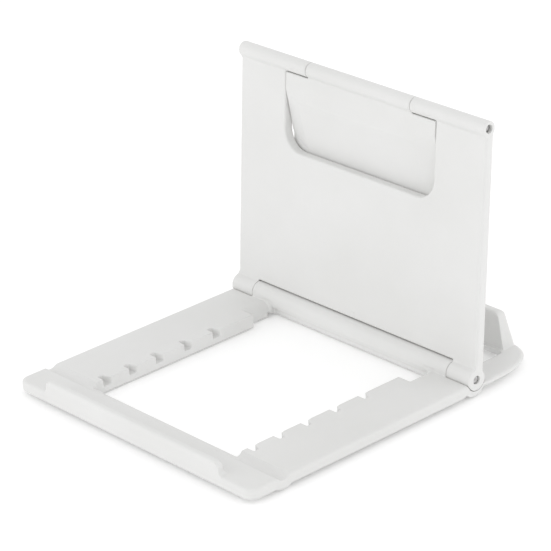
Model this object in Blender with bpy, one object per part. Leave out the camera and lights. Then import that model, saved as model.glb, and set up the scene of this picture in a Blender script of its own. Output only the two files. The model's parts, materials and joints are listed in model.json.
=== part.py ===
"""Folding tablet stand: moulded base frame, hinged back panel, swing-out support leg.

+X runs along both hinges, +Y points to the tall rear lip, +Z is up and the rubber
feet stand on z = 0. Dimensions below are millimetres, measured from the lower hinge
line; MM turns them into metres.
"""
import math

import bmesh
import bpy
from mathutils import Vector

MM = 0.001
GAP = 0.3                     # running gap between neighbouring pieces

# Overall plan, y measured from the lower hinge axis
HALF_W = 60.0                 # half the width along the hinge
Y_FRONT = -103.3              # outer face of the front lip
Y_REAR = 33.0                 # rear edge of the tray
Y_HINGE = 35.15               # hinge axis in the part's frame, centring the plan on the origin

# Heights above the table
Z_BOTTOM = 0.5                # lowest plastic, under the ledges and cradles
Z_TOP = 5.5                   # top of rails and front bar
Z_RAIL_UNDER = 1.7            # underside of rails and front bar
Z_DECK = 4.1                  # top of the rear tray
Z_HINGE = 6.4                 # lower hinge axis

# Base frame
FRONT_R = 3.6                 # plan radius of the front corners
EDGE_R = 1.2                  # rounding of the outer top edges
TRAY_CORNER = (44.0, 9.0)     # where each rear corner's superellipse has its centre
TRAY_POWER = 2.5
OPEN_HALF = 36.9              # half width of the large opening
OPEN_FRONT, OPEN_REAR = -88.6, -1.5
LEDGE_END, LEDGE_STEP = -14.3, 2.8
INNER_ROUND = 4.2             # rounding of the rails' inner edge behind the ledges
SKIRT_T = 5.2                 # thickness of the deep inner ledge
NOTCH_Y = (-84.0, -72.3, -60.2, -47.0, -33.7)
NOTCH_DEPTH, NOTCH_FLOOR = 3.3, 2.8
LIP_FRONT_Z, LIP_REAR_Z = 10.1, 17.7
LIP_FRONT_HALF, LIP_FRONT_R = 44.4, 2.8
LIP_REAR_TOP, LIP_REAR_FOOT = 45.4, 47.6    # half lengths of the rear lip at its top and foot
HOLE_HALF, HOLE_Y = 48.4, (5.5, 25.0)
FOOT_R, FOOT_X, FOOT_Y = 3.0, 52.4, (-96.4, 18.0)

# Lower hinge
KNUCKLE_R = 3.9
KNUCKLE_IN = 49.2             # inner face of each of the panel's two end knuckles
PIN_R, BORE_R = 1.25, 1.5
PIN_RECESS = 0.6              # depth of each pin's end inside its bore
CUP_AXIS, CUP_R = (-1.0, 5.3), 4.8    # rounded cup of the base below each end knuckle

# Back panel, in its own frame with the lower hinge axis as origin
LEAN = math.radians(5.0)
PANEL_FRONT, PANEL_BACK = -0.6, 3.2
PANEL_EDGE = 4.3
TOP_AXIS = (0.75, 89.1)
TOP_R = 2.75
TOP_SEG = 25.6                # inner face of each top barrel segment
WINDOW_HALF, WINDOW_SILL, WINDOW_R = 36.8, 57.6, 8.0

# Support leg, in its own frame with the upper hinge axis as origin
LEG_HALF, LEG_LEN = 36.4, 78.0
LEG_FACE = PANEL_FRONT - TOP_AXIS[0]
LEG_PLATE = (2.85, 5.05)
TAB_HALF, TAB_LEN = 39.6, 6.0

SEG = 48


# ---------------------------------------------------------------- helpers
def new_object(name, bm):
    bmesh.ops.recalc_face_normals(bm, faces=bm.faces)
    mesh = bpy.data.meshes.new(name)
    bm.to_mesh(mesh)
    bm.free()
    obj = bpy.data.objects.new(name, mesh)
    bpy.context.scene.collection.objects.link(obj)
    return obj


def loft(rings, name="tool"):
    """Closed solid through equal-length rings of points given in millimetres."""
    bm = bmesh.new()
    loops = [[bm.verts.new(Vector(p) * MM) for p in ring] for ring in rings]
    n = len(loops[0])
    for low, high in zip(loops, loops[1:]):
        for i in range(n):
            bm.faces.new((low[i], low[(i + 1) % n], high[(i + 1) % n], high[i]))
    bm.faces.new(reversed(loops[0]))
    bm.faces.new(loops[-1])
    return new_object(name, bm)


def prism(points, axis, lo, hi, name="tool"):
    """Extrude a 2-D outline along an axis; the other two axes keep their X, Y, Z order."""
    def place(p, t):
        return {"X": (t, p[0], p[1]), "Y": (p[0], t, p[1]), "Z": (p[0], p[1], t)}[axis]
    return loft([[place(p, t) for p in points] for t in (lo, hi)], name)


def box(x, y, z, name="tool"):
    return prism([(x[0], y[0]), (x[1], y[0]), (x[1], y[1]), (x[0], y[1])], "Z", z[0], z[1], name)


def rod(y, z, r, x0, x1, seg=SEG, name="tool"):
    ring = [(y + r * math.cos(2 * math.pi * (i + 0.5) / seg),
             z + r * math.sin(2 * math.pi * (i + 0.5) / seg)) for i in range(seg)]
    return prism(ring, "X", x0, x1, name)


def disc(x, y, r, z0, z1, seg=32, name="tool"):
    ring = [(x + r * math.cos(2 * math.pi * i / seg),
             y + r * math.sin(2 * math.pi * i / seg)) for i in range(seg)]
    return prism(ring, "Z", z0, z1, name)


def arc(cx, cy, r, a0, a1, n):
    return [(cx + r * math.cos(math.radians(a0 + (a1 - a0) * i / n)),
             cy + r * math.sin(math.radians(a0 + (a1 - a0) * i / n))) for i in range(n + 1)]


def rounded_rect(x, y, radii, inset=0.0, n=6):
    """Outline with radii at (low x low y, high x low y, high x high y, low x high y)."""
    x0, x1, y0, y1 = x[0] + inset, x[1] - inset, y[0] + inset, y[1] - inset
    r = [max(v - inset, 0.2) for v in radii]
    return (arc(x0 + r[0], y0 + r[0], r[0], 180, 270, n) + arc(x1 - r[1], y0 + r[1], r[1], 270, 360, n)
            + arc(x1 - r[2], y1 - r[2], r[2], 0, 90, n) + arc(x0 + r[3], y1 - r[3], r[3], 90, 180, n))


def pillow(x, y, radii, z0, z1, edge, under):
    """Slab with rounded top edges and chamfered bottom edges."""
    levels = [(z0, under), (z0 + under, 0.0)]
    for i in range(5):
        a = math.radians(90 * i / 4)
        levels.append((z1 - edge + edge * math.sin(a), edge * (1 - math.cos(a))))
    return loft([[(px, py, z) for px, py in rounded_rect(x, y, radii, d)] for z, d in levels])


def combine(target, tools, operation):
    """Apply one boolean per tool to the target's mesh and delete the tools."""
    for tool in tools:
        mod = target.modifiers.new("op", "BOOLEAN")
        mod.operation, mod.solver, mod.object = operation, "EXACT", tool
        bpy.context.view_layer.update()
        done = bpy.data.meshes.new_from_object(target.evaluated_get(bpy.context.evaluated_depsgraph_get()))
        target.modifiers.clear()
        target.data = done
        bpy.data.objects.remove(tool, do_unlink=True)
    return target


def add(target, *tools):
    return combine(target, tools, "UNION")


def cut(target, *tools):
    return combine(target, tools, "DIFFERENCE")


def keep(target, *tools):
    return combine(target, tools, "INTERSECT")


def material(name, colour, roughness, metallic=0.0):
    mat = bpy.data.materials.new(name)
    mat.use_nodes = True
    shader = mat.node_tree.nodes["Principled BSDF"]
    shader.inputs["Base Color"].default_value = (*colour, 1.0)
    shader.inputs["Roughness"].default_value = roughness
    shader.inputs["Metallic"].default_value = metallic
    return mat


def finish(obj, name, mat, location=(0, 0, 0), parent=None, tilt=0.0, smooth_angle=32):
    """Clean the mesh, name it, give it its material and place it on its axis."""
    bm = bmesh.new()
    bm.from_mesh(obj.data)
    bmesh.ops.remove_doubles(bm, verts=bm.verts, dist=0.004 * MM)
    bmesh.ops.dissolve_degenerate(bm, edges=bm.edges, dist=0.004 * MM)
    bmesh.ops.recalc_face_normals(bm, faces=bm.faces)
    bm.to_mesh(obj.data)
    bm.free()
    obj.name = obj.data.name = name
    obj.data.materials.clear()
    obj.data.materials.append(mat)
    obj.data.shade_smooth()
    obj.data.set_sharp_from_angle(angle=math.radians(smooth_angle))
    obj.location = Vector(location) * MM
    obj.rotation_euler = (tilt, 0, 0)
    obj.parent = parent
    return obj


# ---------------------------------------------------------------- base frame
def tray():
    """Rear tray with rounded edges and superellipse corners."""
    levels = [(2.0, 1.2), (2.5, 0.5), (3.0, 0.1), (3.3, 0.0)]
    levels += [(Z_DECK - EDGE_R + EDGE_R * math.sin(a), EDGE_R * (1 - math.cos(a)))
               for a in (math.radians(45), math.radians(70), math.radians(90))]
    cx, cy = TRAY_CORNER
    rings = []
    for z, inset in levels:
        a, b = HALF_W - 0.1 - inset - cx, Y_REAR - inset - cy
        right = []
        for i in range(15):
            t = math.radians(90 * i / 14)
            right.append((cx + a * abs(math.cos(t)) ** (2 / TRAY_POWER),
                          cy + b * math.sin(t) ** (2 / TRAY_POWER)))
        left = [(-x, y) for x, y in reversed(right)]
        rings.append([(x, y, z) for x, y in [(-cx - a, 2.0), (cx + a, 2.0)] + right + left])
    return loft(rings)


def base_frame():
    groove_y = -TOP_AXIS[1]
    groove_z = Z_HINGE + TOP_AXIS[0]
    groove_r = TOP_R + GAP
    reach = math.degrees(math.acos((groove_z - Z_TOP) / groove_r))
    groove = arc(groove_y, groove_z, groove_r, 270 - reach, 270 + reach, 10)

    # rails, front bar and cradles share one side profile
    cup = arc(CUP_AXIS[0], CUP_AXIS[1], CUP_R, 222, 338, 10)
    profile = ([(Y_FRONT, Z_RAIL_UNDER), (-92.5, Z_RAIL_UNDER), (-91.0, 0.9), (-87.2, 0.9),
                (-85.7, Z_RAIL_UNDER), (-6.5, Z_RAIL_UNDER)] + cup
               + [(8.0, 2.6), (8.0, Z_DECK), (2.0, Z_DECK), (-1.0, Z_TOP)]
               + groove[::-1] + [(Y_FRONT, Z_TOP)])
    body = pillow((-HALF_W, HALF_W), (Y_FRONT, 14.0), (FRONT_R, FRONT_R, 1, 1), 0.2, Z_TOP, EDGE_R, 0.7)
    keep(body, prism(profile, "X", -70, 70))

    # rear tray
    add(body, tray())

    # deep ledges along both rails
    for s in (-1, 1):
        xs = sorted((s * (OPEN_HALF - 1), s * (OPEN_HALF + SKIRT_T)))
        add(body, box(xs, (-86.4, -5.0), (Z_BOTTOM, 4.0)))

    # large central opening, stepping outward behind the ledges
    cut(body, box((-OPEN_HALF, OPEN_HALF), (OPEN_FRONT, OPEN_REAR), (-2, 20)))
    cut(body, box((-OPEN_HALF - LEDGE_STEP, OPEN_HALF + LEDGE_STEP), (LEDGE_END, OPEN_REAR), (-2, 20)))

    # middle hinge barrel, moulded in one with the base
    add(body, rod(0, Z_HINGE, KNUCKLE_R, -KNUCKLE_IN + GAP, KNUCKLE_IN - GAP))

    # open cradles around the panel's end knuckles, and the pins' bores in the barrel
    for s in (-1, 1):
        cut(body, rod(0, Z_HINGE, KNUCKLE_R + GAP, *sorted((s * (KNUCKLE_IN - GAP), s * (HALF_W + 2)))))
        cut(body, rod(0, Z_HINGE, BORE_R, *sorted((s * (KNUCKLE_IN - 11.5), s * (KNUCKLE_IN + 1))), 32))

    # the rails' inner edges run down in a wide round where they meet the barrel
    for s in (-1, 1):
        edge = OPEN_HALF + LEDGE_STEP
        low = Z_TOP - INNER_ROUND
        bend = [(s * x, z) for x, z in arc(edge + INNER_ROUND, low, INNER_ROUND, 180, 90, 8)]
        hollow = ([(s * (edge - 1), Z_TOP + 1), (s * (edge - 1), low)] + bend
                  + [(s * (edge + INNER_ROUND), Z_TOP + 1)])
        cut(body, prism(hollow, "Y", LEDGE_END, -3.6))

    # five notches in each ledge: square front wall, slanted and chamfered back
    for s in (-1, 1):
        for y0 in NOTCH_Y:
            deep, mouth = OPEN_HALF + NOTCH_DEPTH, OPEN_HALF - 1.5
            slot = [(s * mouth, y0), (s * deep, y0), (s * deep, y0 + 2.1), (s * OPEN_HALF, y0 + 3.4),
                    (s * mouth, y0 + 3.4)]
            cut(body, prism(slot, "Z", NOTCH_FLOOR, 8.0))
            lead = [(y0 + 1.2, Z_TOP - 1.9), (y0 + 5.1, Z_TOP + 0.1), (y0 + 1.2, Z_TOP + 0.1)]
            cut(body, prism(lead, "X", *sorted((s * mouth, s * (deep - 1.0)))))

    # cored underside of rails and front bar
    for s in (-1, 1):
        for i in range(4):
            y0 = -82.5 + i * 18.6
            xs = sorted((s * (OPEN_HALF + SKIRT_T + 0.6), s * (HALF_W - 2.2)))
            cut(body, box(xs, (y0, y0 + 17.1), (-2, 3.5)))
        xs = sorted((s * 2.0, s * 42.0))
        cut(body, box(xs, (Y_FRONT + 2.6, -94.2), (-2, 3.4)))

    # front lip: short, upright, flush with the front face
    inner = arc(-98.9, 7.4, 1.9, 270, 180, 4)
    front = ([(Y_FRONT, 3.2), (Y_FRONT, LIP_FRONT_Z - 0.9)]
             + arc(Y_FRONT + 0.9, LIP_FRONT_Z - 0.9, 0.9, 180, 90, 3)[1:]
             + arc(-101.7, LIP_FRONT_Z - 0.9, 0.9, 90, 0, 3) + inner[::-1] + [(-98.9, 3.2)])
    lip = prism(front, "X", -50, 50)
    r = LIP_FRONT_R
    shape = ([(-LIP_FRONT_HALF, 3.0)] + arc(-LIP_FRONT_HALF + r, LIP_FRONT_Z - r, r, 180, 90, 6)
             + arc(LIP_FRONT_HALF - r, LIP_FRONT_Z - r, r, 90, 0, 6) + [(LIP_FRONT_HALF, 3.0)])
    add(body, keep(lip, prism(shape, "Y", -110, -90)))

    # rear lip: tall wedge with rounded top corners
    rear = ([(26.0, 2.6), (26.0, LIP_REAR_Z - 1.0)] + arc(27.0, LIP_REAR_Z - 1.0, 1.0, 180, 90, 3)[1:]
            + arc(28.3, LIP_REAR_Z - 1.0, 1.0, 90, 12, 3) + [(31.7, 4.4), (32.1, 3.2), (32.1, 2.6)])
    lip = prism(rear, "X", -60, 60)
    slant = math.atan2(LIP_REAR_FOOT - LIP_REAR_TOP, LIP_REAR_Z - 4.4)
    rings = []
    for y, r in ((20.0, 3.2), (26.0, 3.2), (30.0, 1.5), (40.0, 1.5)):
        cx = LIP_REAR_TOP - r / math.cos(slant) + r * math.tan(slant)
        round_end = arc(cx, LIP_REAR_Z - r, r, 90, math.degrees(slant), 6)
        half = round_end + [(LIP_REAR_FOOT, 4.4), (LIP_REAR_FOOT + 0.8, 2.0)]
        rings.append([(x, y, z) for x, z in half + [(-x, z) for x, z in reversed(half)]])
    add(body, keep(lip, loft(rings)))

    # opening in the tray floor at the foot of the rear lip
    cut(body, prism(rounded_rect((-HOLE_HALF, HOLE_HALF), HOLE_Y, (1.5,) * 4, n=3), "Z", -2, 10))

    # bosses and seats for the rubber feet
    for s in (-1, 1):
        for y in FOOT_Y:
            add(body, disc(s * FOOT_X, y, FOOT_R + 0.9, Z_BOTTOM, 2.6))
            cut(body, disc(s * FOOT_X, y, FOOT_R + GAP, -2, 1.1))
    return body


# ---------------------------------------------------------------- back panel
def back_panel():
    plate = prism(rounded_rect((-HALF_W, HALF_W), (PANEL_FRONT, PANEL_BACK), (0.9,) * 4, n=3),
                  "Z", 0.0, TOP_AXIS[1])
    # clearance over the base's middle barrel
    cut(plate, box((-KNUCKLE_IN, KNUCKLE_IN), (-9, 9), (-9, PANEL_EDGE)))
    # window, open at the top until the barrel segments close over it
    window = (arc(-WINDOW_HALF + WINDOW_R, WINDOW_SILL + WINDOW_R, WINDOW_R, 180, 270, 6)
              + arc(WINDOW_HALF - WINDOW_R, WINDOW_SILL + WINDOW_R, WINDOW_R, 270, 360, 6)
              + [(WINDOW_HALF, 99.0), (-WINDOW_HALF, 99.0)])
    cut(plate, prism(window, "Y", -9, 9))
    for s in (-1, 1):
        add(plate, rod(0, 0, KNUCKLE_R, *sorted((s * KNUCKLE_IN, s * HALF_W))))
        # heel that rests against the tray when the panel is fully open
        heel = [(2.4, -1.95), (4.9, -1.95), (4.9, 0.2), (3.0, 1.6)]
        c, sn = math.cos(LEAN), math.sin(LEAN)
        heel = [(y * c - z * sn, y * sn + z * c) for y, z in heel]
        add(plate, prism(heel, "X", *sorted((s * (KNUCKLE_IN + 1.0), s * (HALF_W - 1.0)))))
        add(plate, rod(TOP_AXIS[0], TOP_AXIS[1], TOP_R, *sorted((s * TOP_SEG, s * HALF_W))))
        cut(plate, rod(0, 0, BORE_R, *sorted((s * (KNUCKLE_IN - 2), s * (HALF_W + 2))), 32))
        cut(plate, rod(TOP_AXIS[0], TOP_AXIS[1], BORE_R, *sorted((s * (TOP_SEG - 2), s * (HALF_W + 2))), 32))
    return plate


# ---------------------------------------------------------------- support leg
def support_leg():
    back, front = LEG_PLATE[1], LEG_PLATE[0]
    sill = WINDOW_SILL - TOP_AXIS[1]
    # boss that fills the window: flush at the top, sloping back behind the panel
    side = [(LEG_FACE, -3.15), (LEG_FACE, -12.6), (front + 0.1, sill + 0.3), (front + 0.1, -3.15)]
    boss = prism(side, "X", -LEG_HALF, LEG_HALF)
    r = WINDOW_R - 0.4
    outline = (arc(-LEG_HALF + r, sill + 0.4 + r, r, 180, 270, 6)
               + arc(LEG_HALF - r, sill + 0.4 + r, r, 270, 360, 6)
               + [(LEG_HALF, 9.0), (-LEG_HALF, 9.0)])
    keep(boss, prism(outline, "Y", -9, 9))
    # plate behind the panel, with tabs at the foot that drop into the notches
    foot = -LEG_LEN
    plate = ([(-TAB_HALF, foot + 0.9)] + arc(-TAB_HALF + 0.9, foot + 0.9, 0.9, 180, 270, 3)[1:]
             + arc(TAB_HALF - 0.9, foot + 0.9, 0.9, 270, 360, 3)
             + [(TAB_HALF, foot + TAB_LEN), (LEG_HALF, foot + TAB_LEN + 2.0), (LEG_HALF, -4.6)]
             + [(-LEG_HALF, -4.6), (-LEG_HALF, foot + TAB_LEN + 2.0), (-TAB_HALF, foot + TAB_LEN)])
    leg = prism(plate, "Y", front, back)
    add(leg, boss)
    # centre knuckle on the upper hinge and its web
    web = [(LEG_FACE, 0.0), (LEG_FACE, -3.4), (back, -5.2), (back, -4.4), (2.4, 0.0)]
    add(leg, prism(web, "X", -TOP_SEG + GAP, TOP_SEG - GAP))
    add(leg, rod(0, 0, TOP_R, -TOP_SEG + GAP, TOP_SEG - GAP))
    for s in (-1, 1):
        cut(leg, rod(0, 0, BORE_R, *sorted((s * (TOP_SEG - 12.0), s * (TOP_SEG + 2))), 32))
    # shallow cored fields on the hidden side of the plate
    for x0, x1 in ((-33.0, -1.0), (1.0, 33.0)):
        for z0, z1 in ((-70.0, -52.5), (-50.5, -33.0)):
            cut(leg, box((x0, x1), (back - 0.7, back + 5), (z0, z1)))
    return leg


# ---------------------------------------------------------------- assembly
for old in list(bpy.data.objects):
    bpy.data.objects.remove(old, do_unlink=True)

white = (0.86, 0.86, 0.85)
mat_base = material("base_plastic", white, 0.5)
mat_panel = material("panel_plastic", white, 0.5)
mat_leg = material("leg_plastic", white, 0.5)
mat_pin = material("pin_steel", (0.62, 0.62, 0.63), 0.3, 1.0)
mat_foot = material("foot_rubber", (0.32, 0.32, 0.32), 0.85)

base = finish(base_frame(), "base_frame", mat_base, (0, Y_HINGE, 0))
panel = finish(back_panel(), "back_panel", mat_panel, (0, Y_HINGE, Z_HINGE), tilt=-LEAN)
leg = finish(support_leg(), "support_leg", mat_leg, (0, TOP_AXIS[0], TOP_AXIS[1]), parent=panel)

for side, s in (("left", -1), ("right", 1)):
    pin = rod(0, 0, PIN_R, *sorted((s * (KNUCKLE_IN - 11.0), s * (HALF_W - PIN_RECESS))), 32)
    finish(pin, "lower_hinge_pin_" + side, mat_pin, (0, 0, 0), parent=panel)
    pin = rod(0, 0, PIN_R, *sorted((s * (TOP_SEG - 11.4), s * (HALF_W - 2 * PIN_RECESS))), 32)
    finish(pin, "upper_hinge_pin_" + side, mat_pin, (0, TOP_AXIS[0], TOP_AXIS[1]), parent=panel)
    for end, y in (("front", FOOT_Y[0]), ("rear", FOOT_Y[1])):
        pad = disc(0, 0, FOOT_R, 0, 0.8)
        finish(pad, "foot_%s_%s" % (end, side), mat_foot, (s * FOOT_X, Y_HINGE + y, 0))
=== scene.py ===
"""Looks of the folding tablet stand: moulded shells, pins, pads, materials, light and camera.

Shapes are built in millimetres in each body's own frame: y and z from the lower hinge axis for
the base and the panel, from the upper hinge axis for the leg. Every moulding is assembled from
solids, remeshed finely and relaxed, so all its edges carry the small radius of a real moulding.
"""
import json
import math

import bmesh
import bpy
from mathutils import Matrix, Vector


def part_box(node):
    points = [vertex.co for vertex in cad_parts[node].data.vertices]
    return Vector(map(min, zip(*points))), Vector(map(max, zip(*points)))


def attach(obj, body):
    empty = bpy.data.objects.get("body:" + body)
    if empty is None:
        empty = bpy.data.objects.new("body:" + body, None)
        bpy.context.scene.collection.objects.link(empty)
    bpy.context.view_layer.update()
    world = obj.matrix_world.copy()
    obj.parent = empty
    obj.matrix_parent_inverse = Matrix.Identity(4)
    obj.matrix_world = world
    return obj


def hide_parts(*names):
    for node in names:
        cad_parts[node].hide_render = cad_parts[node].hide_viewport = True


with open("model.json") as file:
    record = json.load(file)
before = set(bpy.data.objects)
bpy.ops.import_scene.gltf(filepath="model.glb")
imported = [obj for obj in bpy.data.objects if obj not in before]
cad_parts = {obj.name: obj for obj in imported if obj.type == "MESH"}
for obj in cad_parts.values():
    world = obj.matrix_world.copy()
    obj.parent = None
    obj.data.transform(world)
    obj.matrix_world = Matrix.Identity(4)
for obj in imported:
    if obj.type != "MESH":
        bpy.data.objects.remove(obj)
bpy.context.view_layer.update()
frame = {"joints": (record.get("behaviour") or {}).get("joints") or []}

MM = 0.001
GAP = 0.3                     # clearance left where it can't be seen
SEAM = 0.15                   # visible gap between two mouldings
VOXEL = 0.25                  # mesh pitch of the remeshed mouldings
RELAX = 5                     # smoothing rounds that turn sharp edges into moulded radii

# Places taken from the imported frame, in millimetres
joints = {j["name"]: Vector(j["pos_m"]) / MM for j in frame["joints"]}
base_low, base_high = [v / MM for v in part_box("base_frame")]
Y_HINGE, Z_HINGE = joints["panel_hinge"].y, joints["panel_hinge"].z
HALF_W = base_high.x
Y_FRONT, Y_REAR = base_low.y - Y_HINGE, base_high.y - Y_HINGE
Z_BOTTOM = base_low.z
LIP_REAR_Z = base_high.z

# The panel's own frame: hinge to hinge vector, and how far it leans back at rest
TOP_AXIS = (0.75, 89.1)
rise = joints["leg_hinge"] - joints["panel_hinge"]
LEAN = math.atan2(rise.y, rise.z) - math.atan2(*TOP_AXIS)

# Heights above the table
Z_TOP = 5.5                   # top of rails and front bar
Z_RAIL_UNDER = 1.7            # underside of rails and front bar
Z_DECK = 4.1                  # top of the rear tray
LIP_FRONT_Z = 10.1

# Base frame, y from the lower hinge axis
FRONT_R = 3.6                 # plan radius of the front corners
EDGE_R = 1.2                  # rounding of the outer top edges
TRAY_FRONT, TRAY_INSET = 2.0, 0.1     # front edge of the tray; how much narrower than the rails
TRAY_CORNER = (44.0, 9.0)     # where each rear corner's superellipse has its centre
TRAY_POWER = 2.5
TRAY_UNDER = ((2.0, 1.2), (2.5, 0.5), (3.0, 0.1), (3.3, 0.0))     # height and inset below its edge
OPEN_HALF = 36.9              # half width of the large opening
OPEN_FRONT, OPEN_REAR = -88.6, -1.5
LEDGE_END, LEDGE_STEP, LEDGE_T = -14.3, 2.8, 5.2
INNER_ROUND = 4.2             # rounding of the rails' inner edge behind the ledges
NOTCH_Y = (-84.0, -72.3, -60.2, -47.0, -33.7)
NOTCH_DEPTH, NOTCH_FLOOR = 3.3, 2.8
NOTCH_MOUTH = OPEN_HALF - 1.5
# x, length and depth of the lead-in behind each notch
NOTCH_LEAD = ((NOTCH_MOUTH, 4.3, 2.1), (OPEN_HALF, 3.9, 1.9), (OPEN_HALF + 2.4, 1.6, 0.6))
LIP_FRONT_HALF, LIP_FRONT_R = 44.4, 2.8
LIP_SWEEP = ((0.15, 6.4), (0.6, 5.7), (1.4, 5.1), (2.6, 4.6), (4.6, 4.1), (4.6, 3.0))   # swept foot
LIP_REAR_TOP, LIP_REAR_FOOT = 45.4, 47.6    # half lengths of the rear lip at its top and foot
HOLE_HALF, HOLE_Y = 48.4, (5.5, 25.0)
FOOT_R, FOOT_X, FOOT_Y = 3.0, 52.4, (-96.4, 18.0)

# Hinges, y and z of the knuckles' and cups' axes from the hinge line or the table
KNUCKLE_R, TOP_R = 3.9, 2.75
KNUCKLE_IN = 49.2             # inner face of each of the panel's two end knuckles
CUP_AXIS, CUP_R = (-1.0, 5.3), 4.8    # rounded cup of the base below each end knuckle
TOP_SEG = 25.6                # inner face of each top barrel segment
PIN_R, BORE_R, PIN_RECESS = 1.25, 1.5, 0.6
FILLET = 1.0                  # blend between the flat faces and the barrels

# Back panel
PANEL_FRONT, PANEL_BACK = -0.6, 3.2
PANEL_EDGE = 4.3
WINDOW_HALF, WINDOW_SILL, WINDOW_R = 36.8, 57.6, 8.0
RIM_R = 0.7                   # rounding of the window's front rim

# Support leg, z from the upper hinge axis
LEG_HALF, LEG_LEN = 36.4, 78.0
LEG_FACE = PANEL_FRONT - TOP_AXIS[0]
LEG_FRONT, LEG_BACK = 2.85, 5.05
TAB_HALF, TAB_LEN = 39.6, 6.0
SLOPE_TOP = -12.6             # where the leg's face turns from flush to sloping
# (x, z) ends of the two faint creases, and how far the strips outside them fall back at their edge
CREASES = (((-30.9, -12.6), (-29.0, -29.0)), ((27.1, -13.0), (28.7, -30.4)))
FACET, FACET_Z = 1.0, -22.0

FACES = {"base": 130000, "panel": 90000, "leg": 80000}     # triangles kept in each moulding


# ---------------------------------------------------------------- mesh helpers
def new_object(name, bm):
    bmesh.ops.recalc_face_normals(bm, faces=bm.faces)
    mesh = bpy.data.meshes.new(name)
    bm.to_mesh(mesh)
    bm.free()
    obj = bpy.data.objects.new(name, mesh)
    bpy.context.scene.collection.objects.link(obj)
    return obj


def loft(rings, name="tool"):
    """Closed solid through equal-length rings of points given in millimetres."""
    bm = bmesh.new()
    loops = [[bm.verts.new(Vector(p) * MM) for p in ring] for ring in rings]
    n = len(loops[0])
    for low, high in zip(loops, loops[1:]):
        for i in range(n):
            bm.faces.new((low[i], low[(i + 1) % n], high[(i + 1) % n], high[i]))
    bm.faces.new(reversed(loops[0]))
    bm.faces.new(loops[-1])
    return new_object(name, bm)


def prism(points, axis, lo, hi):
    """Extrude a 2-D outline along an axis; the other two axes keep their X, Y, Z order."""
    def place(p, t):
        return {"X": (t, p[0], p[1]), "Y": (p[0], t, p[1]), "Z": (p[0], p[1], t)}[axis]
    return loft([[place(p, t) for p in points] for t in (lo, hi)])


def box(x, y, z):
    return prism([(x[0], y[0]), (x[1], y[0]), (x[1], y[1]), (x[0], y[1])], "Z", z[0], z[1])


def circle(a, b, r, seg):
    return [(a + r * math.cos(2 * math.pi * (i + 0.5) / seg),
             b + r * math.sin(2 * math.pi * (i + 0.5) / seg)) for i in range(seg)]


def rod(y, z, r, x0, x1, seg=128):
    return prism(circle(y, z, r, seg), "X", x0, x1)


def disc(x, y, r, z0, z1, seg=96):
    return prism(circle(x, y, r, seg), "Z", z0, z1)


def arc(cx, cy, r, a0, a1, n=16):
    return [(cx + r * math.cos(math.radians(a0 + (a1 - a0) * i / n)),
             cy + r * math.sin(math.radians(a0 + (a1 - a0) * i / n))) for i in range(n + 1)]


def rounded_rect(x, y, radii, inset=0.0, n=20):
    """Outline with radii at (low x low y, high x low y, high x high y, low x high y)."""
    x0, x1, y0, y1 = x[0] + inset, x[1] - inset, y[0] + inset, y[1] - inset
    r = [max(v - inset, 0.2) for v in radii]
    return (arc(x0 + r[0], y0 + r[0], r[0], 180, 270, n) + arc(x1 - r[1], y0 + r[1], r[1], 270, 360, n)
            + arc(x1 - r[2], y1 - r[2], r[2], 0, 90, n) + arc(x0 + r[3], y1 - r[3], r[3], 90, 180, n))


def pillow(x, y, radii, z0, z1, edge, under):
    """Slab with rounded top edges and chamfered bottom edges."""
    levels = [(z0, under), (z0 + under, 0.0)]
    for i in range(13):
        a = math.radians(90 * i / 12)
        levels.append((z1 - edge + edge * math.sin(a), edge * (1 - math.cos(a))))
    return loft([[(px, py, z) for px, py in rounded_rect(x, y, radii, d)] for z, d in levels])


def applied(obj):
    """The object's mesh with its modifiers applied."""
    bpy.context.view_layer.update()
    return bpy.data.meshes.new_from_object(obj.evaluated_get(bpy.context.evaluated_depsgraph_get()))


def combine(target, tools, operation):
    for tool in tools:
        mod = target.modifiers.new("op", "BOOLEAN")
        mod.operation, mod.solver, mod.object = operation, "EXACT", tool
        done = applied(target)
        target.modifiers.clear()
        target.data = done
        bpy.data.objects.remove(tool, do_unlink=True)
    return target


def add(target, *tools):
    return combine(target, tools, "UNION")


def cut(target, *tools):
    return combine(target, tools, "DIFFERENCE")


def keep(target, *tools):
    return combine(target, tools, "INTERSECT")


def span(s, a, b):
    """The interval from a to b on the right side (s = 1), mirrored on the left (s = -1)."""
    return sorted((s * a, s * b))


def mould(obj, faces):
    """Remesh, relax and thin the assembled solid into one smooth moulding."""
    remesh = obj.modifiers.new("remesh", "REMESH")
    remesh.mode, remesh.voxel_size, remesh.use_smooth_shade = "VOXEL", VOXEL * MM, True
    relax = obj.modifiers.new("relax", "SMOOTH")
    relax.factor, relax.iterations = 0.5, RELAX
    obj.data = applied(obj)
    obj.modifiers.clear()
    thin = obj.modifiers.new("thin", "DECIMATE")
    thin.ratio = min(1.0, faces / (2 * len(obj.data.polygons)))
    obj.data = applied(obj)
    obj.modifiers.clear()
    obj.data.shade_smooth()
    normals = obj.modifiers.new("normals", "WEIGHTED_NORMAL")
    normals.weight, normals.keep_sharp = 60, False
    return obj


def dress(obj, name, node, body, mat, origin=(0, 0, 0), tilt=0.0):
    """Place a finished piece, give it its material and let it stand for its CAD node."""
    obj.name = obj.data.name = name
    obj.data.materials.clear()
    obj.data.materials.append(mat)
    place = Matrix.Translation(Vector(origin) * MM) @ Matrix.Rotation(tilt, 4, "X")
    obj.data.transform(place)
    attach(obj, body)
    if node:
        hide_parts(node)
    return obj


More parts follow.
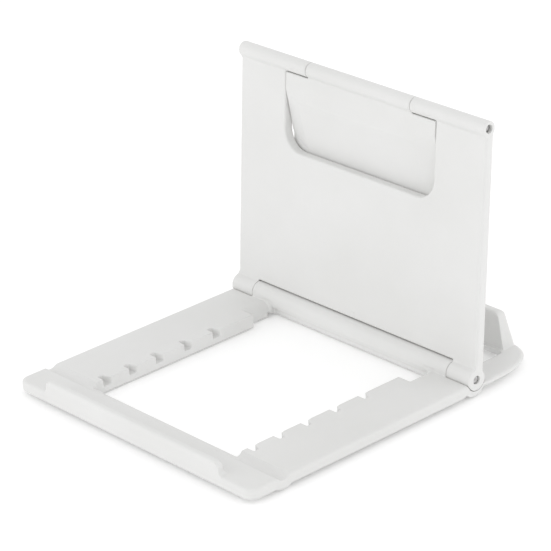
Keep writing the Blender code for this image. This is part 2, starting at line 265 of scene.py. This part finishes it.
# ---------------------------------------------------------------- base frame
def tray():
    """Rear tray with rounded edges and superellipse corners."""
    levels = list(TRAY_UNDER)
    for i in range(4, 13):
        a = math.radians(90 * i / 12)
        levels.append((Z_DECK - EDGE_R + EDGE_R * math.sin(a), EDGE_R * (1 - math.cos(a))))
    cx, cy = TRAY_CORNER
    rings = []
    for z, inset in levels:
        a, b = HALF_W - TRAY_INSET - inset - cx, Y_REAR - inset - cy
        right = []
        for i in range(49):
            t = math.radians(90 * i / 48)
            right.append((cx + a * abs(math.cos(t)) ** (2 / TRAY_POWER),
                          cy + b * math.sin(t) ** (2 / TRAY_POWER)))
        left = [(-x, y) for x, y in reversed(right)]
        front = [(-cx - a, TRAY_FRONT), (cx + a, TRAY_FRONT)]
        rings.append([(x, y, z) for x, y in front + right + left])
    return loft(rings)


def notch_lead(s, y0):
    """Rounded lead-in behind a notch, wide at the opening and fading out at the deep end."""
    rings, start = [], y0 + 1.2
    for x, reach, drop in NOTCH_LEAD:
        bend = [(start + reach * (1 - math.cos(a)), Z_TOP - drop + (drop + 0.02) * math.sin(a))
                for a in [math.radians(90 * i / 12) for i in range(13)]]
        above = [(start + reach, Z_TOP + 2), (y0 + 0.4, Z_TOP + 2), (y0 + 0.4, Z_TOP - drop)]
        rings.append([(s * x, y, z) for y, z in bend + above])
    return loft(rings)


def base_frame():
    groove_y, groove_z, groove_r = -TOP_AXIS[1], Z_HINGE + TOP_AXIS[0], TOP_R + GAP
    reach = math.degrees(math.acos((groove_z - Z_TOP) / groove_r))
    groove = arc(groove_y, groove_z, groove_r, 270 - reach, 270 + reach, 24)

    # rails, front bar and cradles share one side profile
    cup = arc(CUP_AXIS[0], CUP_AXIS[1], CUP_R, 222, 338, 32)
    profile = ([(Y_FRONT, Z_RAIL_UNDER), (-92.5, Z_RAIL_UNDER), (-91.0, 0.9), (-87.2, 0.9),
                (-85.7, Z_RAIL_UNDER), (-6.5, Z_RAIL_UNDER)] + cup
               + [(8.0, 2.6), (8.0, Z_DECK), (2.0, Z_DECK), (-1.0, Z_TOP)]
               + groove[::-1] + [(Y_FRONT, Z_TOP)])
    body = pillow((-HALF_W, HALF_W), (Y_FRONT, 14.0), (FRONT_R, FRONT_R, 1, 1), 0.2, Z_TOP, EDGE_R, 0.7)
    keep(body, prism(profile, "X", -70, 70))

    # rear tray
    add(body, tray())

    # deep ledges along both rails
    for s in (-1, 1):
        xs = span(s, OPEN_HALF - 1, OPEN_HALF + LEDGE_T)
        add(body, box(xs, (-86.4, -5.0), (Z_BOTTOM, 4.0)))

    # large central opening, stepping outward behind the ledges
    cut(body, box((-OPEN_HALF, OPEN_HALF), (OPEN_FRONT, OPEN_REAR), (-2, 20)))
    cut(body, box((-OPEN_HALF - LEDGE_STEP, OPEN_HALF + LEDGE_STEP), (LEDGE_END, OPEN_REAR), (-2, 20)))

    # middle hinge barrel, moulded in one with the base
    add(body, rod(0, Z_HINGE, KNUCKLE_R, -KNUCKLE_IN + SEAM, KNUCKLE_IN - SEAM))

    # open cradles around the panel's end knuckles, and the pins' bores in the barrel
    for s in (-1, 1):
        cut(body, rod(0, Z_HINGE, KNUCKLE_R + SEAM, *span(s, KNUCKLE_IN - SEAM, HALF_W + 2)))
        cut(body, rod(0, Z_HINGE, BORE_R, *span(s, KNUCKLE_IN - 11.5, KNUCKLE_IN + 1)))

    # the rails' inner edges run down in a wide round where they meet the barrel
    for s in (-1, 1):
        edge, low = OPEN_HALF + LEDGE_STEP, Z_TOP - INNER_ROUND
        bend = [(s * x, z) for x, z in arc(edge + INNER_ROUND, low, INNER_ROUND, 180, 90, 24)]
        hollow = ([(s * (edge - 1), Z_TOP + 1), (s * (edge - 1), low)] + bend
                  + [(s * (edge + INNER_ROUND), Z_TOP + 1)])
        cut(body, prism(hollow, "Y", LEDGE_END, -3.6))

    # five notches in each ledge: square front wall, slanted back with a rounded lead-in
    for s in (-1, 1):
        for y0 in NOTCH_Y:
            deep = OPEN_HALF + NOTCH_DEPTH
            slot = [(s * NOTCH_MOUTH, y0), (s * deep, y0), (s * deep, y0 + 2.1), (s * OPEN_HALF, y0 + 3.4),
                    (s * NOTCH_MOUTH, y0 + 3.4)]
            cut(body, prism(slot, "Z", NOTCH_FLOOR, 8.0))
            cut(body, notch_lead(s, y0))

    # cored underside of rails and front bar
    for s in (-1, 1):
        for i in range(4):
            y0 = -82.5 + i * 18.6
            xs = span(s, OPEN_HALF + LEDGE_T + 0.6, HALF_W - 2.2)
            cut(body, box(xs, (y0, y0 + 17.1), (-2, 3.5)))
        xs = span(s, 2.0, 42.0)
        cut(body, box(xs, (Y_FRONT + 2.6, -94.2), (-2, 3.4)))

    # front lip: short, upright, flush with the front face, with a swept foot at each end
    inner = arc(-98.9, 7.4, 1.9, 270, 180)
    front = ([(Y_FRONT, 3.2), (Y_FRONT, LIP_FRONT_Z - 0.9)]
             + arc(Y_FRONT + 0.9, LIP_FRONT_Z - 0.9, 0.9, 180, 90)[1:]
             + arc(-101.7, LIP_FRONT_Z - 0.9, 0.9, 90, 0) + inner[::-1] + [(-98.9, 3.2)])
    lip = prism(front, "X", -50, 50)
    r = LIP_FRONT_R
    half = (arc(LIP_FRONT_HALF - r, LIP_FRONT_Z - r, r, 90, 0)
            + [(LIP_FRONT_HALF + dx, z) for dx, z in LIP_SWEEP])
    shape = [(-x, z) for x, z in reversed(half)] + half
    add(body, keep(lip, prism(shape, "Y", -110, -90)))

    # rear lip: tall wedge whose top corners are rounder on the inside than on the outside
    rear = ([(26.0, 2.6), (26.0, LIP_REAR_Z - 1.0)] + arc(27.0, LIP_REAR_Z - 1.0, 1.0, 180, 90)[1:]
            + arc(28.3, LIP_REAR_Z - 1.0, 1.0, 90, 12) + [(31.7, 4.4), (32.1, 3.2), (32.1, 2.6)])
    lip = prism(rear, "X", -60, 60)
    slant = math.atan2(LIP_REAR_FOOT - LIP_REAR_TOP, LIP_REAR_Z - 4.4)
    rings = []
    for y, r in ((20.0, 3.2), (26.0, 3.2), (30.0, 1.5), (40.0, 1.5)):
        cx = LIP_REAR_TOP - r / math.cos(slant) + r * math.tan(slant)
        round_end = arc(cx, LIP_REAR_Z - r, r, 90, math.degrees(slant), 16)
        half = round_end + [(LIP_REAR_FOOT, 4.4), (LIP_REAR_FOOT + 0.8, 2.0)]
        rings.append([(x, y, z) for x, z in half + [(-x, z) for x, z in reversed(half)]])
    add(body, keep(lip, loft(rings)))

    # opening in the tray floor at the foot of the rear lip
    cut(body, prism(rounded_rect((-HOLE_HALF, HOLE_HALF), HOLE_Y, (1.5,) * 4), "Z", -2, 10))

    # bosses and seats for the rubber feet
    for s in (-1, 1):
        for y in FOOT_Y:
            add(body, disc(s * FOOT_X, y, FOOT_R + 0.9, Z_BOTTOM, 2.6))
            cut(body, disc(s * FOOT_X, y, FOOT_R + GAP, -2, 1.1))
    return mould(body, FACES["base"])


# ---------------------------------------------------------------- back panel
def blend(face, radius, up):
    """Profile of the fillet between a flat face and a barrel centred on the origin."""
    cy, cz = face - FILLET, up * math.sqrt((radius + FILLET) ** 2 - (FILLET - face) ** 2)
    toward = math.degrees(math.atan2(-cz, -cy))
    bend = arc(cy, cz, FILLET, 0, toward, 10)
    return bend + [(bend[-1][0] * 0.8, bend[-1][1] * 0.8), (face + 0.4, cz * 0.7), (face + 0.4, cz)]


def back_panel():
    plate = prism(rounded_rect((-HALF_W, HALF_W), (PANEL_FRONT, PANEL_BACK), (0.9,) * 4),
                  "Z", 0.0, TOP_AXIS[1])
    cut(plate, box((-KNUCKLE_IN, KNUCKLE_IN), (-9, 9), (-9, PANEL_EDGE)))
    # window with a rounded front rim
    rings = []
    rim = arc(PANEL_FRONT + RIM_R, RIM_R, RIM_R, 180, 270, 6)
    for y, grow in [(-9.0, RIM_R)] + rim + [(9.0, 0.0)]:
        r = WINDOW_R + grow
        outline = (arc(-WINDOW_HALF + WINDOW_R, WINDOW_SILL + WINDOW_R, r, 180, 270, 24)
                   + arc(WINDOW_HALF - WINDOW_R, WINDOW_SILL + WINDOW_R, r, 270, 360, 24)
                   + [(WINDOW_HALF + grow, 99.0), (-WINDOW_HALF - grow, 99.0)])
        rings.append([(x, y, z) for x, z in outline])
    cut(plate, loft(rings))
    for s in (-1, 1):
        add(plate, rod(0, 0, KNUCKLE_R, *span(s, KNUCKLE_IN, HALF_W)))
        add(plate, prism(blend(PANEL_FRONT, KNUCKLE_R, 1), "X", *span(s, KNUCKLE_IN, HALF_W)))
        # heel that rests against the tray when the panel is fully open
        heel = [(2.4, -1.95), (4.9, -1.95), (4.9, 0.2), (3.0, 1.6)]
        c, sn = math.cos(LEAN), math.sin(LEAN)
        heel = [(y * c - z * sn, y * sn + z * c) for y, z in heel]
        add(plate, prism(heel, "X", *span(s, KNUCKLE_IN + 1.0, HALF_W - 1.0)))
        add(plate, rod(TOP_AXIS[0], TOP_AXIS[1], TOP_R, *span(s, TOP_SEG, HALF_W)))
        neck = [(y + TOP_AXIS[0], z + TOP_AXIS[1]) for y, z in blend(LEG_FACE, TOP_R, -1)]
        add(plate, prism(neck, "X", *span(s, WINDOW_HALF + RIM_R, HALF_W)))
        cut(plate, rod(0, 0, BORE_R, *span(s, KNUCKLE_IN - 2, HALF_W + 2)))
        cut(plate, rod(TOP_AXIS[0], TOP_AXIS[1], BORE_R, *span(s, TOP_SEG - 2, HALF_W + 2)))
        # ejector marks on the hidden face
        for z in (16.0, 74.0):
            cut(plate, prism(circle(s * 49.0, z, 2.1, 64), "Y", PANEL_BACK - 0.3, 9))
    return mould(plate, FACES["panel"])


# ---------------------------------------------------------------- support leg
def support_leg():
    sill = WINDOW_SILL - TOP_AXIS[1]
    half = WINDOW_HALF - SEAM
    top = -TOP_R - SEAM
    side = [(LEG_FACE, top), (LEG_FACE, SLOPE_TOP), (LEG_FRONT + 0.1, sill + 0.3), (LEG_FRONT + 0.1, top)]
    boss = prism(side, "X", -half, half)
    r = WINDOW_R - SEAM
    outline = (arc(-half + r, sill + SEAM + r, r, 180, 270, 24)
               + arc(half - r, sill + SEAM + r, r, 270, 360, 24) + [(half, 9.0), (-half, 9.0)])
    keep(boss, prism(outline, "Y", -9, 9))
    # faint facets along both sides of the slope
    fall = (LEG_FRONT + 0.1 - LEG_FACE) / (SLOPE_TOP - sill - 0.3)
    for (x0, z0), (x1, z1) in CREASES:
        # plane through both ends of the crease and a point set back at the leg's edge
        y0, y1, y2 = [LEG_FACE + max(SLOPE_TOP - z, 0.0) * fall for z in (z0, z1, FACET_Z)]
        dx1, dy1, dz1 = x1 - x0, y1 - y0, z1 - z0
        dx2, dy2, dz2 = math.copysign(half, x0) - x0, y2 + FACET - y0, FACET_Z - z0
        det = dx1 * dz2 - dx2 * dz1
        across, along = (dy1 * dz2 - dy2 * dz1) / det, (dx1 * dy2 - dx2 * dy1) / det
        corners = ((x0 * 0.7, 2), (x0 * 1.5, 2), (x0 * 1.5, -40), (x0 * 0.7, -40))
        cut(boss, loft([[(x, y0 + across * (x - x0) + along * (z - z0) + d, z) for x, z in corners]
                        for d in (0.0, -30.0)]))
    # plate behind the panel, with tabs at the foot that drop into the notches
    foot = -LEG_LEN
    plate = ([(-TAB_HALF, foot + 0.9)] + arc(-TAB_HALF + 0.9, foot + 0.9, 0.9, 180, 270)[1:]
             + arc(TAB_HALF - 0.9, foot + 0.9, 0.9, 270, 360)
             + [(TAB_HALF, foot + TAB_LEN), (LEG_HALF, foot + TAB_LEN + 2.0), (LEG_HALF, -4.6)]
             + [(-LEG_HALF, -4.6), (-LEG_HALF, foot + TAB_LEN + 2.0), (-TAB_HALF, foot + TAB_LEN)])
    leg = prism(plate, "Y", LEG_FRONT, LEG_BACK)
    add(leg, boss)
    # centre knuckle on the upper hinge and its web
    web = [(LEG_FACE, 0.0), (LEG_FACE, -3.4), (LEG_BACK, -5.2), (LEG_BACK, -4.4), (2.4, 0.0)]
    add(leg, prism(web, "X", -TOP_SEG + SEAM, TOP_SEG - SEAM))
    add(leg, rod(0, 0, TOP_R, -TOP_SEG + SEAM, TOP_SEG - SEAM))
    add(leg, prism(blend(LEG_FACE, TOP_R, -1), "X", -TOP_SEG + SEAM, TOP_SEG - SEAM))
    for s in (-1, 1):
        cut(leg, rod(0, 0, BORE_R, *span(s, TOP_SEG - 12.0, TOP_SEG + 2)))
    # shallow cored fields on the hidden side of the plate
    for x0, x1 in ((-33.0, -1.0), (1.0, 33.0)):
        for z0, z1 in ((-70.0, -52.5), (-50.5, -33.0)):
            cut(leg, box((x0, x1), (LEG_BACK - 0.7, LEG_BACK + 5), (z0, z1)))
    return mould(leg, FACES["leg"])


# ---------------------------------------------------------------- pins and pads
def lathe(profile, axis, seg=96):
    """Solid of revolution: (distance along the axis, radius) points, capped at both ends."""
    bm = bmesh.new()
    rings = []
    for t, r in profile:
        ring = []
        for i in range(seg):
            a = 2 * math.pi * i / seg
            c, d = r * math.cos(a), r * math.sin(a)
            ring.append(bm.verts.new(Vector({"X": (t, c, d), "Y": (c, t, d), "Z": (c, d, t)}[axis]) * MM))
        rings.append(ring)
    for low, high in zip(rings, rings[1:]):
        for i in range(seg):
            bm.faces.new((low[i], low[(i + 1) % seg], high[(i + 1) % seg], high[i]))
    bm.faces.new(reversed(rings[0]))
    bm.faces.new(rings[-1])
    obj = new_object("lathe", bm)
    obj.data.shade_smooth()
    obj.data.set_sharp_from_angle(angle=math.radians(40))
    return obj


def pin(x0, x1):
    """Drawn wire pin with rounded ends and a shallow shear dimple in each."""
    r, e = PIN_R, 0.3
    start = [(x0 + 0.08, 0.1), (x0 + 0.06, 0.35), (x0, 0.6)]
    start += arc(x0 + e, r - e, e, 180, 90, 6)
    return lathe(start + [(x0 + x1 - x, q) for x, q in reversed(start)], "X")


def pad():
    """Rubber pad with a rounded lower rim and a shallow dimple in its sole."""
    r, e = FOOT_R, 0.3
    sole = [(0.12, 0.1), (0.12, 1.5), (0.0, 1.75), (0.0, r - e)]
    rim = arc(e, r - e, e, 180, 90, 6)[1:]
    return lathe(sole + rim + [(0.7, r), (0.8, r - 0.1), (0.8, 0.1)], "Z")


def gate_mark():
    """Small dome left where the panel's mould was filled."""
    r, h = 0.45, 0.17
    turns = [math.radians(4 + 86 * i / 8) for i in range(9)]
    dome = [(-h * math.cos(a), r * math.sin(a)) for a in turns]
    return lathe(dome + [(0.1, r)], "Y", 48)


# ---------------------------------------------------------------- materials
class Nodes:
    """Shorthand for wiring a node material around one Principled shader."""

    def __init__(self, name):
        self.mat = bpy.data.materials.new(name)
        self.mat.use_nodes = True
        self.tree = self.mat.node_tree
        self.shader = self.tree.nodes["Principled BSDF"]
        self.coords = self.tree.nodes.new("ShaderNodeTexCoord").outputs["Object"]

    def node(self, kind, inputs=None, **settings):
        made = self.tree.nodes.new("ShaderNode" + kind)
        for key, value in settings.items():
            setattr(made, key, value)
        for key, value in (inputs or {}).items():
            if isinstance(value, bpy.types.NodeSocket):
                self.tree.links.new(value, made.inputs[key])
            else:
                made.inputs[key].default_value = value
        return made

    def stretched(self, scale):
        return self.node("Mapping", {"Vector": self.coords, "Scale": scale}).outputs["Vector"]

    def noise(self, scale, detail=2.0, roughness=0.5, vector=None):
        """Noise value; scale is in waves per metre."""
        made = self.node("TexNoise", {"Vector": vector or self.coords, "Scale": scale,
                                      "Detail": detail, "Roughness": roughness})
        return made.outputs[0]

    def spread(self, value, from_low, from_high, low, high):
        made = self.node("MapRange", {0: value, 1: from_low, 2: from_high, 3: low, 4: high})
        return made.outputs[0]

    def maths(self, operation, a, b):
        return self.node("Math", {0: a, 1: b}, operation=operation).outputs[0]

    def mix(self, factor, a, b):
        made = self.node("Mix", {0: factor, 6: a, 7: b}, data_type="RGBA")
        return made.outputs[2]

    def edges(self, radius):
        """1 on sharp outer and inner edges, 0 on open faces."""
        bevel = self.node("Bevel", {"Radius": radius}, samples=4).outputs[0]
        normal = self.node("NewGeometry").outputs["Normal"]
        same = self.node("VectorMath", {0: bevel, 1: normal}, operation="DOT_PRODUCT").outputs["Value"]
        return self.spread(same, 0.99, 0.85, 0.0, 1.0)

    def bump(self, layers):
        """Stack of (height, distance in metres) bumps."""
        normal = None
        for height, distance in layers:
            inputs = {"Height": height, "Distance": distance, "Strength": 1.0}
            if normal is not None:
                inputs["Normal"] = normal
            normal = self.node("Bump", inputs).outputs[0]
        self.set("Normal", normal)

    def set(self, socket, value):
        if isinstance(value, bpy.types.NodeSocket):
            self.tree.links.new(value, self.shader.inputs[socket])
        else:
            self.shader.inputs[socket].default_value = value


def moulded_plastic(name, tone):
    """Matt white ABS: spark-eroded grain, faint flow clouding, rubbed edges lightened partly by a painted
    sheen, painted shade in the corners.
    """
    n = Nodes(name)

    def shade(r, g, b):
        return tone * r, tone * g, tone * b, 1

    clouds = n.spread(n.noise(22.0, 4.0), 0.35, 0.65, 0.0, 1.0)
    colour = n.mix(clouds, shade(1.02, 1.02, 1.01), shade(0.975, 0.975, 0.96))
    specks = n.spread(n.noise(900.0, 3.0, 0.7), 0.66, 0.74, 0.0, 0.25)
    colour = n.mix(specks, colour, shade(0.86, 0.86, 0.84))
    # painted shade: the colour darkens towards a grey tint wherever ambient occlusion finds nearby
    # surfaces, in corners, creases and gaps
    hollow = n.node("AmbientOcclusion", {"Distance": 0.0015}, samples=6).outputs["AO"]
    colour = n.mix(n.spread(hollow, 0.35, 0.85, 0.30, 0.0), colour, shade(0.72, 0.71, 0.68))
    # edge lightening: partly rubbed wear, partly a painted sheen that lightens the colour along the edges
    rim = n.maths("MULTIPLY", n.edges(0.0004), n.spread(n.noise(140.0, 3.0), 0.4, 0.6, 0.25, 1.0))
    n.set("Base Color", n.mix(n.maths("MULTIPLY", rim, 0.5), colour, shade(1.06, 1.06, 1.06)))
    scuff = n.noise(1.0, 2.0, 0.6, n.stretched((180.0, 40.0, 2600.0)))
    scuffs = n.spread(scuff, 0.68, 0.76, 0.0, 1.0)
    rough = n.spread(n.noise(60.0, 3.0), 0.3, 0.7, 0.47, 0.58)
    rough = n.maths("SUBTRACT", rough, n.maths("MULTIPLY", rim, 0.14))
    rough = n.maths("SUBTRACT", rough, n.maths("MULTIPLY", scuffs, 0.08))
    n.set("Roughness", rough)
    n.set("IOR", 1.52)
    n.bump([(n.noise(35.0, 1.0), 0.00008), (n.noise(700.0, 2.0), 0.00002),
            (n.noise(4200.0, 2.0, 0.6), 0.000022)])
    return n.mat


def drawn_steel():
    """Bright drawn wire: fine lines along the pin, dull patches and polished edges."""
    n = Nodes("drawn_steel")
    lines = n.noise(1.0, 3.0, 0.6, n.stretched((120.0, 9000.0, 9000.0)))
    patches = n.noise(900.0, 3.0, 0.6)
    dull = n.spread(patches, 0.35, 0.65, 0.0, 1.0)
    n.set("Base Color", n.mix(dull, (0.60, 0.60, 0.61, 1), (0.43, 0.42, 0.41, 1)))
    n.set("Metallic", 1.0)
    n.set("Roughness", n.maths("ADD", n.spread(lines, 0.3, 0.7, 0.24, 0.38),
                               n.maths("MULTIPLY", n.edges(0.0002), -0.08)))
    n.bump([(lines, 0.000008), (patches, 0.00001)])
    return n.mat


def pad_rubber():
    """Dark rubber: fine pebble grain, dusty wear on the raised rim."""
    n = Nodes("pad_rubber")
    grain, dust = n.noise(3200.0, 3.0, 0.6), n.noise(300.0, 4.0)
    dusty = n.spread(dust, 0.4, 0.7, 0.0, 0.5)
    colour = n.mix(dusty, (0.045, 0.045, 0.045, 1), (0.12, 0.115, 0.11, 1))
    n.set("Base Color", n.mix(n.maths("MULTIPLY", n.edges(0.0003), 0.5), colour, (0.16, 0.16, 0.155, 1)))
    n.set("Roughness", n.spread(dust, 0.3, 0.7, 0.72, 0.9))
    n.bump([(grain, 0.00004), (dust, 0.00003)])
    return n.mat


# ---------------------------------------------------------------- assembly
TONE = 0.74                   # albedo of the white plastic
GATE_Z = 6.4                  # height of the gate mark on the panel
PIN_LOW_DEPTH, PIN_TOP_DEPTH = 11.0, 11.4    # how deep the pins reach into the middle barrels
abs_names = ("frame_abs", "panel_abs", "leg_abs")
frame_mat, panel_mat, leg_mat = [moulded_plastic(name, TONE) for name in abs_names]
steel, rubber = drawn_steel(), pad_rubber()
at_base, at_panel, at_leg = (0, Y_HINGE, 0), (0, Y_HINGE, Z_HINGE), joints["leg_hinge"]

dress(base_frame(), "base_shell", "base_frame", "base", frame_mat, at_base)
dress(back_panel(), "panel_shell", "back_panel", "panel", panel_mat, at_panel, -LEAN)
dress(support_leg(), "leg_shell", "support_leg", "leg", leg_mat, at_leg, -LEAN)
mark = gate_mark()
mark.data.transform(Matrix.Translation(Vector((0, PANEL_FRONT, GATE_Z)) * MM))
dress(mark, "gate_mark", None, "panel", panel_mat, at_panel, -LEAN)

for side, s in (("left", -1), ("right", 1)):
    dress(pin(*span(s, KNUCKLE_IN - PIN_LOW_DEPTH, HALF_W - PIN_RECESS)), "lower_pin_" + side,
          "lower_hinge_pin_" + side, "panel", steel, at_panel, -LEAN)
    dress(pin(*span(s, TOP_SEG - PIN_TOP_DEPTH, HALF_W - 2 * PIN_RECESS)), "upper_pin_" + side,
          "upper_hinge_pin_" + side, "panel", steel, at_leg, -LEAN)
    for end, y in (("front", FOOT_Y[0]), ("rear", FOOT_Y[1])):
        dress(pad(), "pad_%s_%s" % (end, side), "foot_%s_%s" % (end, side), "base", rubber,
              (s * FOOT_X, Y_HINGE + y, 0))

# ---------------------------------------------------------------- stage
TENT_SIDE, TENT_TOP = 1.12, 0.87    # strength of the surrounding light, level and overhead
FLOOR_RADIUS, FLOOR_GLOW = 3.0, 0.14    # the glow keeps the paper evenly white

bm = bmesh.new()
bmesh.ops.create_circle(bm, cap_ends=True, segments=96, radius=FLOOR_RADIUS)
floor = new_object("floor", bm)
paper = Nodes("floor_paper")
paper.set("Base Color", paper.mix(paper.noise(3.0), (0.945, 0.945, 0.945, 1), (0.955, 0.955, 0.955, 1)))
paper.set("Roughness", 0.9)
paper.set("Emission Color", (1, 1, 1, 1))
paper.set("Emission Strength", FLOOR_GLOW)
floor.data.materials.append(paper.mat)

# white tent, a little brighter towards the horizon than overhead
world = bpy.data.worlds.new("studio")
bpy.context.scene.world = world
world.use_nodes = True
tent = world.node_tree
direction = tent.nodes.new("ShaderNodeTexCoord")
split = tent.nodes.new("ShaderNodeSeparateXYZ")
fade = tent.nodes.new("ShaderNodeMapRange")
fade.inputs[3].default_value, fade.inputs[4].default_value = TENT_SIDE, TENT_TOP
tent.links.new(direction.outputs["Generated"], split.inputs[0])
tent.links.new(split.outputs["Z"], fade.inputs[0])
tent.links.new(fade.outputs[0], tent.nodes["Background"].inputs["Strength"])
tent.nodes["Background"].inputs["Color"].default_value = (1, 1, 1, 1)


def area(name, place, target, size, power):
    lamp = bpy.data.lights.new(name, "AREA")
    lamp.shape, lamp.size, lamp.energy = "DISK", size, power
    obj = bpy.data.objects.new(name, lamp)
    bpy.context.scene.collection.objects.link(obj)
    obj.location = place
    obj.rotation_euler = (Vector(target) - Vector(place)).to_track_quat("-Z", "Y").to_euler()
    return obj


area("key", (-0.55, -1.2, 0.6), (0, 0, 0.03), 0.9, 1.9)
area("fill", (1.0, 1.0, 0.8), (0.04, 0.05, 0.01), 0.9, 1.9)

# ---------------------------------------------------------------- camera
CAMERA_AT = Vector((676.3, -594.8, 449.6))
RIGHT, UP, BACK = ((0.67610, 0.73519, -0.04882), (-0.27543, 0.31364, 0.90872), (0.68339, -0.60094, 0.41455))

camera = bpy.data.objects.new("camera", bpy.data.cameras.new("camera"))
bpy.context.scene.collection.objects.link(camera)
camera.data.sensor_width, camera.data.lens = 36.0, 190.0
camera.data.clip_start, camera.data.clip_end = 0.05, 20
camera.matrix_world = Matrix.Translation(CAMERA_AT * MM) @ Matrix((RIGHT, UP, BACK)).transposed().to_4x4()
bpy.context.scene.camera = camera
bpy.context.scene.view_settings.view_transform = "Standard"
